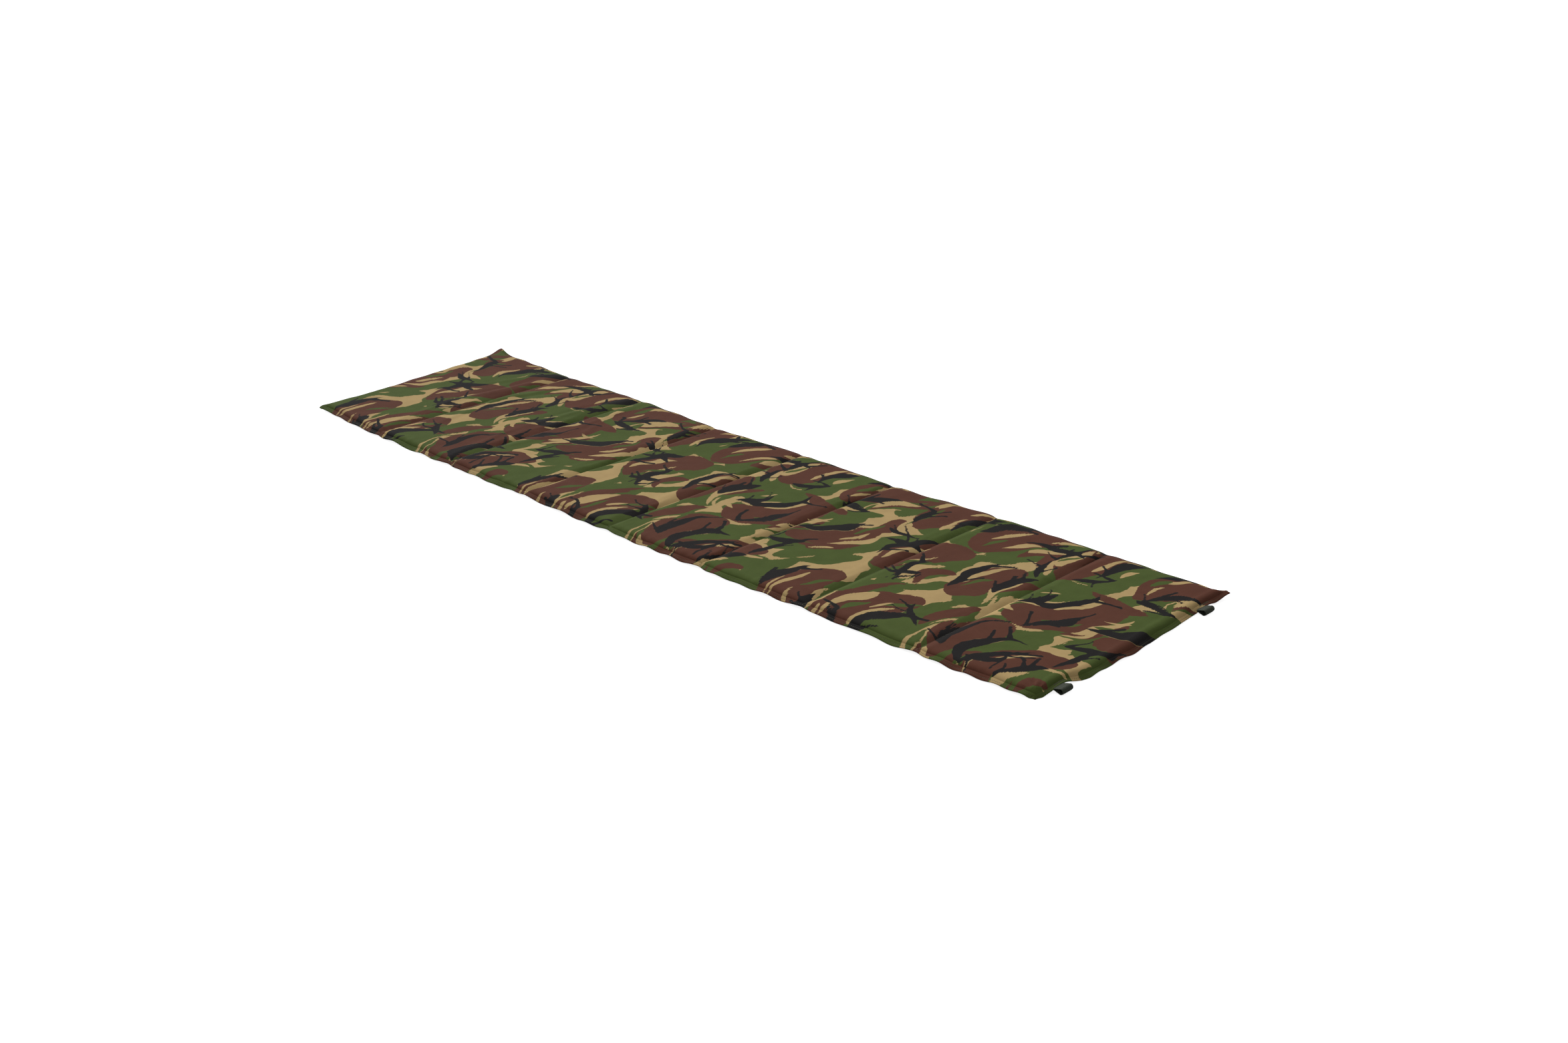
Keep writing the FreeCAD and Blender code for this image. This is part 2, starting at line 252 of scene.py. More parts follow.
def hem_height(x, y):
    """Height of the middle of the hem, which droops outward, most of all at the near side and foot."""
    away, _ = seam_distance(x)
    near, far = np.maximum(-y - HEM_INNER, 0), np.maximum(y - HEM_INNER, 0)
    head, foot = np.maximum(HEAD_HEM - x, 0), np.maximum(x - FOOT_HEM, 0)
    held = np.exp(-((np.abs(y) - LOOP_PLACE) / LOOP_HOLD_REACH) ** 4)
    sides = DROOP["near"] * near + DROOP["far"] * far
    ends = DROOP["head"] * head + DROOP["foot"] * foot * (1 - LOOP_HOLD * held)
    uneven = 1 + 0.25 * ripple(x - y, 55, 50, 160)
    droop = np.maximum(sides, ends) * uneven * (1 - FOLD_HOLD * np.exp(-(away / FOLD_HOLD_REACH) ** 2))
    return MIDDLE - droop + 0.2 * ripple(x + y, 52, 40, 120)


# the corners: place along the mat, which way is outward along X and Y, how far the tip points
# outward and turns up, and how far the pad curls up
CORNERS = [
    (HEAD_EDGE, -1, -1, 1.5, 2.5, 1.0), (HEAD_EDGE, -1, 1, 5.0, 8.0, 3.0),
    (FOOT_EDGE, 1, -1, -5.0, -2.5, 0.0), (FOOT_EDGE, 1, 1, 2.0, 5.5, 0.6),
]
# how far the long edges lie outward of straight, at the head, at each fold and at the foot
WANDER_NEAR = [-6, 7, 8, 7, 11, 9, 4, 1, -6]
WANDER_FAR = [8, 3, 6, -4, 5, 3, 16, 15, 14]
# and the same for the two ends, at even places from the near edge to the far one
WANDER_HEAD = [-8, -4, -2, 4, 7, 14, 19, 21, 21]
WANDER_FOOT = [-13, -10, 2, 4, 4, 0, -1, -4, -1]
EDGE_BAND = 40.0      # width of the strip inside a long hem that follows its ripples
END_BAND = 45.0       # and of the strip inside an end that follows the end's
HEAD_RIPPLE, FOOT_RIPPLE = 1.6, 1.2
END_START = 30.0      # how far beyond the nearest fold an end starts to follow its wander
FOOT_HEM_PULL = 0.15  # the foot hem is drawn in by this share of its width
TIP_REACH, LIFT_REACH, CURL_REACH = 15.0, 20.0, 150.0  # how far the corners' turns reach in
DIAGONAL = 0.75       # share of a corner's outward turn along the mat, and across it


def joined(t, places, values):
    """Values given at some places, joined smoothly."""
    places, values = np.array(places, float), np.array(values, float)
    i = np.clip(np.searchsorted(places, t) - 1, 0, len(places) - 2)
    part = np.clip((t - places[i]) / (places[i + 1] - places[i]), 0, 1)
    part = part * part * (3 - 2 * part)
    return values[i] * (1 - part) + values[i + 1] * part


def settle(points):
    """Moves points of the flat, straight mat to where the sewn edges and corners really lie."""
    p = np.array(points, float)
    x, y = p[:, 0].copy(), p[:, 1].copy()
    near_edge = np.clip((np.abs(y) - HEM_INNER + EDGE_BAND) / EDGE_BAND, 0, 1.3) ** 2
    p[:, 1] += np.sign(y) * rim(x, np.sign(y)) * near_edge
    share = (y / HEM_OUTER + 1) / 2
    stations = [HEAD_EDGE, *FOLDS, FOOT_EDGE]
    p[:, 1] += share * joined(x, stations, WANDER_FAR) - (1 - share) * joined(x, stations, WANDER_NEAR)
    across = np.linspace(-HEM_OUTER, HEM_OUTER, len(WANDER_HEAD))
    at_head = np.clip((FOLDS[0] - END_START - x) / (FOLDS[0] - END_START - HEAD_EDGE), 0, 1)
    at_foot = np.clip((x - FOLDS[-1] - END_START) / (FOOT_EDGE - FOLDS[-1] - END_START), 0, 1)
    p[:, 0] -= joined(y, across, WANDER_HEAD) * at_head ** 1.5
    drawn_in = FOOT_HEM_PULL * np.maximum(x - FOOT_HEM, 0)
    p[:, 0] += joined(y, across, WANDER_FOOT) * at_foot ** 1.5 - drawn_in
    head = np.clip(1 - (x - HEAD_EDGE) / END_BAND, 0, 1) ** 2
    foot = np.clip(1 - (FOOT_EDGE - x) / END_BAND, 0, 1) ** 2
    p[:, 0] += HEAD_RIPPLE * ripple(y, 53, 90, 260) * head + FOOT_RIPPLE * ripple(y, 54, 90, 260) * foot
    for cx, sx, sy, out, up, curl in CORNERS:
        away = np.hypot(x - cx, y - sy * HEM_OUTER)
        near = np.exp(-(away / TIP_REACH) ** 2)
        p[:, 0] += sx * out * DIAGONAL * near
        p[:, 1] += sy * out * DIAGONAL * near
        p[:, 2] += up * np.exp(-(away / LIFT_REACH) ** 2) + curl * np.exp(-(away / CURL_REACH) ** 2)
    p[:, 2] = np.maximum(p[:, 2], LOWEST)
    return p


# ---------------------------------------------------------------- the cloth's print
# An own brush-stroke camouflage. Strokes are arcs with a changing width, laid in seeded
# clusters that share a sweep. Each layer is kept as a signed distance, negative inside.

PRINT_REPEAT = 634.0  # the print repeats along the mat after this length,
PRINT_WIDTH = 560.0   # and is this wide, a little wider than the mat
PRINT_ROWS, PRINT_COLUMNS = 3, 4
PRINT_SEED = 23
STROKE_POINTS, FINGER_POINTS = 11, 7
LEAST_RADIUS, MOST_BEND = 24, 2.6  # the tightest stroke, and the furthest it turns, in radians
# how much a finger curls, its tip's width as a share of its root's, and the waist and the blob
# that the brush leaves on it
FINGER_CURL, FINGER_TAPER, FINGER_WAIST, FINGER_BLOB = 0.9, 0.40, 0.75, 1.5
PRINT_SWAY, PRINT_SHAKE = 2.4, 0.35  # how far the strokes' outlines wander, broadly and finely
LAYER_REACH = 12.0    # a layer's distance is known this far from its strokes
LAYERS = ("green", "brown", "sand_over", "green_over", "black")


def arc(x, y, heading, length, bend, count=STROKE_POINTS):
    """Points of an arc centred on x, y; bend is how far it turns from end to end."""
    turn = heading + bend * np.linspace(-0.5, 0.5, count)
    step = length / (count - 1)
    px, py = np.cumsum(np.cos(turn)) * step, np.cumsum(np.sin(turn)) * step
    return np.stack([px - px.mean() + x, py - py.mean() + y], 1)


def leaf(width, count, skew, fullness, tip=0.5):
    """Half widths along a stroke, pointed at both ends; skew moves the widest place."""
    t = np.linspace(0.0, 1.0, count) ** skew
    return np.maximum(width / 2 * np.sin(math.pi * t) ** fullness, tip)


def lay_cluster(rng, lay, finger, x, y):
    """One sweep of brush strokes round x, y: they share a centre, as an arm swings."""
    uniform = rng.uniform
    radius, hand = uniform(90, 170), rng.choice([-1, 1])
    outward = math.radians(rng.normal(-26, 20)) + (math.pi if hand < 0 else 0)
    cx, cy = x - radius * math.cos(outward), y - radius * math.sin(outward)

    def sweep(layer, offset, slide, length, width, skew=1.0, fullness=0.7, tilt=0.0):
        """One stroke, set out from the cluster's arc and slid along it."""
        reach = max(radius + offset, LEAST_RADIUS)
        angle = outward + hand * slide / radius
        heading = angle + hand * math.pi / 2 + tilt
        bend = hand * min(length / reach, MOST_BEND)
        return heading, lay(layer, cx + reach * math.cos(angle), cy + reach * math.sin(angle), heading,
                            length, width, bend, skew, fullness)

    def fingers(stroke, places, count, turns, lengths, widths):
        """Short branches to either side of a stroke, from some of its points."""
        heading, points = stroke
        for at in rng.choice(places, count, replace=False):
            turn = rng.choice([-1, 1]) * uniform(*turns)
            finger(points, at, heading + turn, uniform(*lengths), uniform(*widths))

    side = rng.choice([-1, 1])
    # broad green to both sides of the cluster's middle, and a short one before it
    sweep("green", side * uniform(48, 66), uniform(-30, 30),
          uniform(170, 230), uniform(76, 108), uniform(0.7, 1.4), 0.5)
    sweep("green", -side * uniform(62, 84), uniform(-40, 40),
          uniform(130, 190), uniform(48, 76), uniform(0.7, 1.4), 0.5)
    sweep("green", uniform(-20, 20), uniform(-80, -60),
          uniform(60, 90), uniform(36, 56), 1.0, 0.5, uniform(-1, 1))
    # the main brown stroke, and two thinner ones beside it
    width = uniform(74, 106)
    sweep("brown", 0, 0, uniform(148, 205), width, rng.choice([0.62, 0.75, 1.4]), 0.5)
    sweep("brown", side * (width / 2 + uniform(14, 34)), uniform(-50, 50),
          uniform(80, 130), uniform(20, 34), uniform(0.6, 1.5), 0.6)
    sweep("brown", uniform(-70, 80), uniform(-90, 90),
          uniform(60, 110), uniform(9, 17), uniform(0.6, 1.5), 0.7, uniform(-0.4, 0.4))
    # thin sand and green over the brown
    edge = -side * width / 2
    sweep("sand_over", edge * uniform(0.35, 0.7), uniform(-25, 25),
          uniform(70, 110), uniform(9, 17), uniform(0.7, 1.4))
    sweep("sand_over", -edge * uniform(0.9, 1.3), uniform(-60, 60),
          uniform(80, 130), uniform(15, 27), uniform(0.6, 1.6), 0.6)
    for _ in range(3):
        sweep("sand_over", uniform(-80, 90), uniform(-90, 90),
              uniform(36, 84), uniform(6, 13), uniform(0.7, 1.4), 0.7, uniform(-0.25, 0.25))
    for _ in range(2):
        sweep("green_over", uniform(-70, 80), uniform(-80, 80),
              uniform(45, 90), uniform(7, 14), uniform(0.7, 1.4), 0.7, uniform(-0.5, 0.5))
    # three black strokes with fingers: along the brown's edge, beside it and behind it
    stroke = sweep("black", edge + uniform(-5, 5), uniform(-30, 30),
                   uniform(105, 160), uniform(17, 27), uniform(0.6, 1.6), 0.9, uniform(-0.15, 0.15))
    fingers(stroke, [2, 4, 6, 8], 2, (0.35, 1.0), (32, 58), (8, 11.5))
    stroke = sweep("black", side * uniform(20, 48), uniform(-70, 70),
                   uniform(75, 120), uniform(15, 24), uniform(0.6, 1.6), 0.8, uniform(-0.6, 0.6))
    fingers(stroke, [1, 3, 5, 7, 9], 3, (0.4, 1.1), (26, 50), (6.5, 10))
    stroke = sweep("black", uniform(-80, 90), uniform(70, 100) * rng.choice([-1, 1]),
                   uniform(62, 105), uniform(12, 20), uniform(0.6, 1.6), 0.8, uniform(0.5, 2.2))
    fingers(stroke, [1, 3, 6, 8], 2, (0.5, 1.2), (24, 44), (6, 9))


def lay_strokes():
    """All strokes of one repeat, as (layer, points, half widths)."""
    rng = np.random.default_rng(PRINT_SEED)
    strokes = []

    def lay(layer, x, y, heading, length, width, bend, skew, fullness):
        """Adds one stroke to a layer and returns its points."""
        points = arc(x, y, heading, length, bend)
        strokes.append((layer, points, leaf(width, len(points), skew, fullness)))
        return points

    def finger(points, at, heading, length, width):
        """Adds a black branch from one point of a stroke: waisted, with a rounder tip."""
        curl = rng.uniform(-FINGER_CURL, FINGER_CURL)
        branch = arc(0, 0, heading, length, curl, FINGER_POINTS)
        branch = branch - branch[0] + points[at]
        taper = np.linspace(width, width * FINGER_TAPER, FINGER_POINTS) / 2
        taper[FINGER_POINTS // 2] *= FINGER_WAIST
        taper[-1] *= FINGER_BLOB
        strokes.append(("black", branch, taper))

    cell_x, cell_y = PRINT_REPEAT / PRINT_COLUMNS, PRINT_WIDTH / PRINT_ROWS
    for column in range(2 * PRINT_COLUMNS):
        for row in range(PRINT_ROWS + 1):
            shift = 0 if row % 2 else cell_x / 4
            x = column * cell_x / 2 + shift + rng.uniform(-14, 14)
            y = row * cell_y - PRINT_WIDTH / 2 + rng.uniform(-24, 24)
            lay(rng.choice(["green", "green", "green", "brown"]), x, y, rng.normal(1.1, 0.5),
                rng.uniform(80, 130), rng.uniform(18, 48), rng.uniform(-1.4, 1.4),
                rng.uniform(0.6, 1.6), 0.6)
    for column in range(PRINT_COLUMNS):
        for row in range(PRINT_ROWS):
            shift = cell_x / 2 if row % 2 else 0
            x = (column + 0.5) * cell_x + shift + rng.uniform(-22, 22)
            y = (row + 0.5) * cell_y - PRINT_WIDTH / 2 + rng.uniform(-22, 22)
            lay_cluster(rng, lay, finger, x, y)
    return strokes


STROKES = lay_strokes()


def stroke_distance(x, y, points, half_widths):
    """Signed distance from one stroke: its spine's segments, each with a changing half width."""
    best = np.full(x.shape, 1e3)
    for (ax, ay), (bx, by), ra, rb in zip(points, points[1:], half_widths, half_widths[1:]):
        dx, dy = bx - ax, by - ay
        t = np.clip(((x - ax) * dx + (y - ay) * dy) / max(dx * dx + dy * dy, 1e-9), 0, 1)
        away = np.hypot(x - ax - t * dx, y - ay - t * dy) - (ra + t * (rb - ra))
        np.minimum(best, away, out=best)
    return best


def print_layers(px, py):
    """The print's layers at points of the cloth, as signed distances of at most LAYER_REACH."""
    layers = {name: np.full(px.shape, LAYER_REACH) for name in LAYERS}
    bent_x = px + PRINT_SWAY * waves(px, py, 61, 45, 100) + PRINT_SHAKE * waves(px, py, 62, 10, 20)
    bent_y = py + PRINT_SWAY * waves(px, py, 63, 45, 100) + PRINT_SHAKE * waves(px, py, 64, 10, 20)
    wrapped = np.mod(bent_x, PRINT_REPEAT)
    for layer, points, half_widths in STROKES:
        margin = half_widths.max() + LAYER_REACH
        low, high = points.min(0) - margin, points.max(0) + margin
        for shift in (-PRINT_REPEAT, 0.0, PRINT_REPEAT):
            if low[0] + shift > PRINT_REPEAT or high[0] + shift < 0:
                continue
            near = np.flatnonzero((wrapped > low[0] + shift) & (wrapped < high[0] + shift)
                                  & (bent_y > low[1]) & (bent_y < high[1]))
            if near.size:
                away = stroke_distance(wrapped[near] - shift, bent_y[near], points, half_widths)
                layers[layer][near] = np.minimum(layers[layer][near], away)
    return layers


# ---------------------------------------------------------------- materials


class Surface:
    """A material and a short way to add nodes to it."""

    def __init__(self, name, **constants):
        self.material = bpy.data.materials.new(name)
        self.material.use_nodes = True
        self.tree = self.material.node_tree
        self.shader = self.tree.nodes["Principled BSDF"]
        for socket, value in constants.items():
            self.shader.inputs[socket.replace("_", " ")].default_value = value

    def node(self, kind, inputs=None, **settings):
        made = self.tree.nodes.new("ShaderNode" + kind)
        for name, value in settings.items():
            setattr(made, name, value)
        for socket, value in (inputs or {}).items():
            if isinstance(value, bpy.types.NodeSocket):
                self.tree.links.new(value, made.inputs[socket])
            else:
                made.inputs[socket].default_value = value
        return made

    def link(self, output, socket):
        self.tree.links.new(output, self.shader.inputs[socket])

    def math(self, operation, a, b=0.0, c=0.0):
        return self.node("Math", {0: a, 1: b, 2: c}, operation=operation).outputs[0]

    def attribute(self, name, output="Fac"):
        return self.node("Attribute", attribute_name=name).outputs[output]

    def noise(self, vector, scale, detail=2.0, roughness=0.5):
        made = self.node("TexNoise", {"Vector": vector, "Scale": scale, "Detail": detail,
                                      "Roughness": roughness})
        return made.outputs["Fac"]

    def stretched(self, vector, turn, scale):
        made = self.node("Mapping", {"Vector": vector, "Rotation": (0, 0, turn), "Scale": scale})
        return made.outputs["Vector"]

    def mix(self, factor, a, b, blend="MIX"):
        made = self.node("Mix", {0: factor, 6: a, 7: b}, data_type="RGBA", blend_type=blend)
        return made.outputs[2]

    def step(self, value, low, high, out_low=0.0, out_high=1.0):
        made = self.node("MapRange", {"Value": value, "From Min": low, "From Max": high,
                                      "To Min": out_low, "To Max": out_high})
        return made.outputs["Result"]

    def bump(self, height, distance, strength=1.0):
        made = self.node("Bump", {"Height": height, "Distance": distance, "Strength": strength})
        self.link(made.outputs["Normal"], "Normal")


SAND = (0.300, 0.212, 0.095, 1)
GREEN = (0.049, 0.068, 0.017, 1)
BROWN = (0.072, 0.027, 0.017, 1)
BLACK = (0.011, 0.010, 0.010, 1)
DARK_THREAD, PALE_THREAD = (0.030, 0.031, 0.016, 1), (0.075, 0.070, 0.040, 1)
# the webbing's colour where painted shade darkens the grooves of its weave, and on its rib tops
WEBBING_GROOVE_SHADE, PALE_WEBBING = (0.012, 0.015, 0.009, 1), (0.028, 0.034, 0.020, 1)
WEBBING_SPECK = (0.045, 0.052, 0.032, 1)
DARK_FOAM, PALE_FOAM = (0.16, 0.165, 0.16, 1), (0.23, 0.235, 0.23, 1)
WHITE = (1, 1, 1, 1)
WEAVE_PITCH = 0.9
WAVE_NODE_FACTOR = 20  # a wave texture of scale 1 has this many radians to a unit


def weave_height(surface, vector):
    """A plain weave: two crossed sets of threads, with the slight unevenness of spun yarn."""
    scale = math.tau / WEAVE_PITCH / WAVE_NODE_FACTOR
    yarn = {"Vector": vector, "Scale": scale, "Distortion": 0.6, "Detail": 1.0, "Detail Scale": 2.0}
    warp = surface.node("TexWave", yarn, bands_direction="X")
    weft = surface.node("TexWave", yarn, bands_direction="Y")
    return surface.math("MAXIMUM", warp.outputs["Fac"], weft.outputs["Fac"])


def mottle(surface, colour, value, low, high, spread):
    """Darkens and lightens a colour by up to spread, as value runs from low to high."""
    shade = surface.step(value, low, high, 1 - spread, 1 + spread)
    grey = surface.node("CombineColor", {channel: shade for channel in range(3)})
    return surface.mix(1.0, colour, grey.outputs[0], "MULTIPLY")


def camouflage_cloth():
    """Printed cloth: the five print layers over sand, with dry-brush edges and a fine weave."""
    s = Surface("camouflage_cloth", Roughness=0.85, Sheen_Weight=0.01, Sheen_Roughness=0.5,
                IOR=1.10)
    place = s.attribute("cloth_place", "Vector")
    # how far the print's edges stray: finely everywhere, and in long brush teeth in some patches
    ragged = s.math("MULTIPLY_ADD", s.noise(place, 0.12, 2.0), 1.6, -0.8)
    teeth = s.noise(s.stretched(place, math.radians(-52), (0.55, 0.07, 1)), 1.0, 1.0)
    patch = s.step(s.noise(place, 0.016, 1.0), 0.56, 0.62)
    brush = s.math("MULTIPLY", s.math("MULTIPLY_ADD", teeth, 9.0, -4.5), patch)
    edge = s.math("ADD", ragged, brush)
    colour = SAND
    for layer, paint in zip(LAYERS, (GREEN, BROWN, SAND, GREEN, BLACK)):
        away = s.math("ADD", s.attribute(layer), edge)
        covered = s.step(away, 0.35, -0.35)
        colour = s.mix(covered, colour, paint)
    # broad uneven dyeing, and the flecks of single yarns
    colour = mottle(s, colour, s.noise(place, 0.03, 3.0, 0.6), 0.25, 0.75, 0.07)
    fleck = s.noise(place, 1.1, 2.0, 0.7)
    colour = mottle(s, colour, fleck, 0.2, 0.8, 0.10)
    s.link(colour, "Base Color")
    s.link(s.step(fleck, 0.2, 0.8, 0.76, 0.88), "Roughness")
    # the weave and its flecks in relief, over small wrinkles in the cloth
    weave = weave_height(s, place)
    slack = s.noise(s.stretched(place, math.radians(8), (1, 0.4, 1)), 0.06, 3.0)
    fine = s.math("MULTIPLY_ADD", weave, 0.5, fleck)
    s.bump(s.math("MULTIPLY_ADD", slack, 5.0, fine), 0.00012, 0.8)
    return s.material


def thread():
    """Olive sewing thread with its twist."""
    s = Surface("sewing_thread", Roughness=0.65, Sheen_Weight=0.03, IOR=1.3)
    place = s.node("TexCoord").outputs["Object"]
    twist = s.noise(place, 900.0, 2.0)
    s.link(s.mix(twist, DARK_THREAD, PALE_THREAD), "Base Color")
    s.bump(twist, 0.0001, 0.6)
    return s.material


def webbing():
    """Ribbed olive webbing: ribs along its length, crossed by a fine weft, with painted shade in the
    grooves between them.
    """
    s = Surface("olive_webbing", Roughness=0.7, Sheen_Weight=0.03, IOR=1.25)
    place = s.attribute("cloth_place", "Vector")
    ribs = s.node("TexWave", {"Vector": place, "Scale": 0.21, "Distortion": 0.3}, bands_direction="Y")
    weft = s.node("TexWave", {"Vector": place, "Scale": 0.36, "Distortion": 0.5}, bands_direction="X")
    height = s.math("MULTIPLY_ADD", weft.outputs["Fac"], 0.5, ribs.outputs["Fac"])
    speck = s.noise(place, 1.4, 2.0)
    # painted shade: the webbing is darker where its weave lies low, in the grooves between ribs and wefts
    ribs_with_groove_shade = s.mix(s.step(height, 0.2, 1.3), WEBBING_GROOVE_SHADE, PALE_WEBBING)
    s.link(s.mix(s.step(speck, 0.45, 0.75, 0.0, 0.3), ribs_with_groove_shade, WEBBING_SPECK), "Base Color")
    s.bump(height, 0.0003, 0.8)
    return s.material


def closed_cell_foam():
    """Grey foam, seen only where a cover is taken off."""
    s = Surface("closed_cell_foam", Roughness=0.9, IOR=1.4)
    place = s.node("TexCoord").outputs["Object"]
    cells = s.node("TexVoronoi", {"Vector": place, "Scale": 900.0}).outputs["Distance"]
    s.link(s.mix(s.noise(place, 60.0), DARK_FOAM, PALE_FOAM), "Base Color")
    s.bump(cells, 0.0003, 0.5)
    return s.material


CLOTH, THREAD, WEBBING, FOAM = camouflage_cloth(), thread(), webbing(), closed_cell_foam()

# ---------------------------------------------------------------- making pieces


def make_piece(name, points, faces, material, sharp=None):
    """A smooth mesh object from points in millimetres; sharp is the angle of its hard edges."""
    mesh = bpy.data.meshes.new(name)
    mesh.from_pydata((np.asarray(points) * MM).tolist(), [], [tuple(f) for f in faces])
    mesh.update()
    mesh.polygons.foreach_set("use_smooth", [True] * len(mesh.polygons))
    mesh.materials.append(material)
    piece = bpy.data.objects.new(name, mesh)
    bpy.context.collection.objects.link(piece)
    if sharp is not None:
        mesh.set_sharp_from_angle(angle=math.radians(sharp))
    return piece


def give_print(piece, px, py):
    """Writes the cloth's own coordinates and the print's layers on a piece's points."""
    mesh = piece.data
    place = np.stack([px, py, np.zeros_like(px)], 1).astype(np.float32)
    mesh.attributes.new("cloth_place", "FLOAT_VECTOR", "POINT").data.foreach_set("vector", place.ravel())
    for name, values in print_layers(px, py).items():
        mesh.attributes.new(name, "FLOAT", "POINT").data.foreach_set("value", values.astype(np.float32))


def bend(piece, first, second, hinge, reach):
    """Bakes a piece's placement into its points; it is not bent across the hinge between the two bodies.
    """
    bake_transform(piece)


def attach(piece, half):
    """Fixes a piece of half a panel: on its panel, or, if it reaches a fold, with its placement baked
    into its points.
    """
    if half["hinge"] is None:
        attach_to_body(piece, half["body"])
    else:
        bend(piece, half["first"], half["second"], half["hinge"], BLEND_REACH)


def halves():
    """The mat cut at the middle of every panel and at every fold's stitch line."""
    for k in range(1, PANELS + 1):
        middle = CENTRES[k - 1]
        at_fold = k > 1
        yield {"panel": k, "name": f"{k}_head_half", "body": f"panel_{k}",
               "from": FOLDS[k - 2] if at_fold else HEAD_HEM, "to": middle,
               "hinge": f"fold_{k - 1}_foot_side" if at_fold else None,
               "first": f"fold_{k - 1}", "second": f"panel_{k}",
               "webs": [f"fold_web_{k - 1}"] if at_fold else []}
        at_fold = k < PANELS
        yield {"panel": k, "name": f"{k}_foot_half", "body": f"panel_{k}",
               "from": middle, "to": FOLDS[k - 1] if at_fold else FOOT_HEM,
               "hinge": f"fold_{k}_head_side" if at_fold else None,
               "first": f"panel_{k}", "second": f"fold_{k}",
               "webs": [f"fold_web_{k}"] if at_fold else []}


def loop_faces(rows, ring, cap=True):
    """Quads of a tube of rows rings; cap closes its two ends with quads across them."""
    r, c = np.meshgrid(np.arange(rows - 1), np.arange(ring), indexing="ij")
    a = (r * ring + c).ravel()
    b = (r * ring + (c + 1) % ring).ravel()
    faces = np.stack([a, b, b + ring, a + ring], 1).tolist()
    if cap:
        half = ring // 2
        for base, order in ((0, -1), ((rows - 1) * ring, 1)):
            for j in range(half - 1):
                quad = [base + j, base + j + 1, base + ring - 2 - j, base + ring - 1 - j]
                faces.append(quad[::order])
    return faces


def strip_faces(rows, ring, sign):
    """A tube's faces with one flat face at each end; sign turns them so that they face outward."""
    faces = loop_faces(rows, ring, cap=False)
    faces += [list(range(ring))[::-1], [(rows - 1) * ring + i for i in range(ring)]]
    return faces if sign > 0 else [face[::-1] for face in faces]


UNDERSIDE_SHIFT = 217.0  # the underside is the same print, turned over and shifted along


def cover_piece(half):
    """Half a panel's pillow of cloth: upper face, lower face and the closed ends."""
    count_x = round((half["to"] - half["from"]) / CLOTH_GRID) + 1
    reach = HEM_INNER + HEM_LAP
    count_y = round(2 * reach / CLOTH_GRID) + 1
    xs = np.linspace(half["from"], half["to"], count_x)
    if half["hinge"] is None and half["panel"] == 1:
        xs[0] -= HEM_LAP
    elif half["hinge"] is None:
        xs[-1] += HEM_LAP
    ys = np.linspace(-reach, reach, count_y)
    x_top, y_top = np.meshgrid(xs, ys, indexing="ij")
    x_low, y_low = np.meshgrid(xs, ys[::-1], indexing="ij")
    x = np.concatenate([x_top, x_low], 1).ravel()
    y = np.concatenate([y_top, y_low], 1).ravel()
    z = np.concatenate([top_height(x_top, y_top), base_height(x_low, y_low)], 1).ravel()
    faces = loop_faces(count_x, 2 * count_y)
    points = settle(np.stack([x, y, z], 1))
    piece = make_piece(f"cover_{half['name']}", points, faces, CLOTH, sharp=55)
    under = np.concatenate([np.zeros_like(x_top), np.ones_like(x_low)], 1).ravel() > 0
    give_print(piece, np.where(under, UNDERSIDE_SHIFT - x, x), np.where(under, -y, y))
    attach(piece, half)
    k = half["panel"]
    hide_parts(f"top_cover_{k}", f"base_cover_{k}", *half["webs"])


COVER_THICK = 1.0
FOAM_ROUND, FOAM_SIDE = 6.0, 0.3  # how wide its edge is rounded, and how much height is left there


def foam_piece(k):
    """A panel's foam slab: it follows the cover from inside, with rounded sides."""
    low, high = box_mm(f"foam_core_{k}")
    xs = np.linspace(low[0], high[0], round((high[0] - low[0]) / FOAM_GRID) + 1)
    ys = np.linspace(low[1], high[1], round((high[1] - low[1]) / FOAM_GRID) + 1)
    x_top, y_top = np.meshgrid(xs, ys, indexing="ij")
    side_x = np.minimum(x_top - low[0], high[0] - x_top)
    side_y = np.minimum(y_top - low[1], high[1] - y_top)
    inward = np.clip(np.minimum(side_x, side_y) / FOAM_ROUND, 0, 1)
    share = FOAM_SIDE + (1 - FOAM_SIDE) * np.sqrt(1 - (1 - inward) ** 2)
    upper = MIDDLE + (top_height(x_top, y_top) - COVER_THICK - MIDDLE) * share
    lower = MIDDLE - (MIDDLE - COVER_THICK) * share
    x = np.concatenate([x_top, x_top[:, ::-1]], 1).ravel()
    y = np.concatenate([y_top, y_top[:, ::-1]], 1).ravel()
    z = np.concatenate([upper, lower[:, ::-1]], 1).ravel()
    faces = loop_faces(len(xs), 2 * len(ys))
    points = settle(np.stack([x, y, z], 1))
    piece = make_piece(f"foam_slab_{k}", points, faces, FOAM, sharp=50)
    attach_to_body(piece, f"panel_{k}")
    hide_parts(f"foam_core_{k}")


# the hem's section, from its inner edge outward over the top and back underneath:
# distance out from the cover, height from the hem's middle as a share of half its thickness
HEM_SECTION = [
    (-1.0, 0.9), (0.8, 1.0), (2.6, 1.0), (4.3, 0.9), (5.4, 0.55), (6.4, 0.9), (7.6, 1.0),
    (8.6, 0.75), (9.0, 0.0), (8.6, -0.75), (7.4, -1.0), (5.4, -0.8), (3.0, -1.0), (-1.0, -0.9),
]


def hem_strip(run, out_axis, sign, start):
    """Points of a hem strip: places along it, which way is outward, distance of its inner edge."""
    rows = []
    for t in run:
        for out, share in HEM_SECTION:
            across = sign * (start + out)
            x, y = (t, across) if out_axis == "y" else (across, t)
            z = hem_height(np.array([x]), np.array([y]))[0] + share * HALF_HEM
            rows.append((x, y, z))
    return np.array(rows)


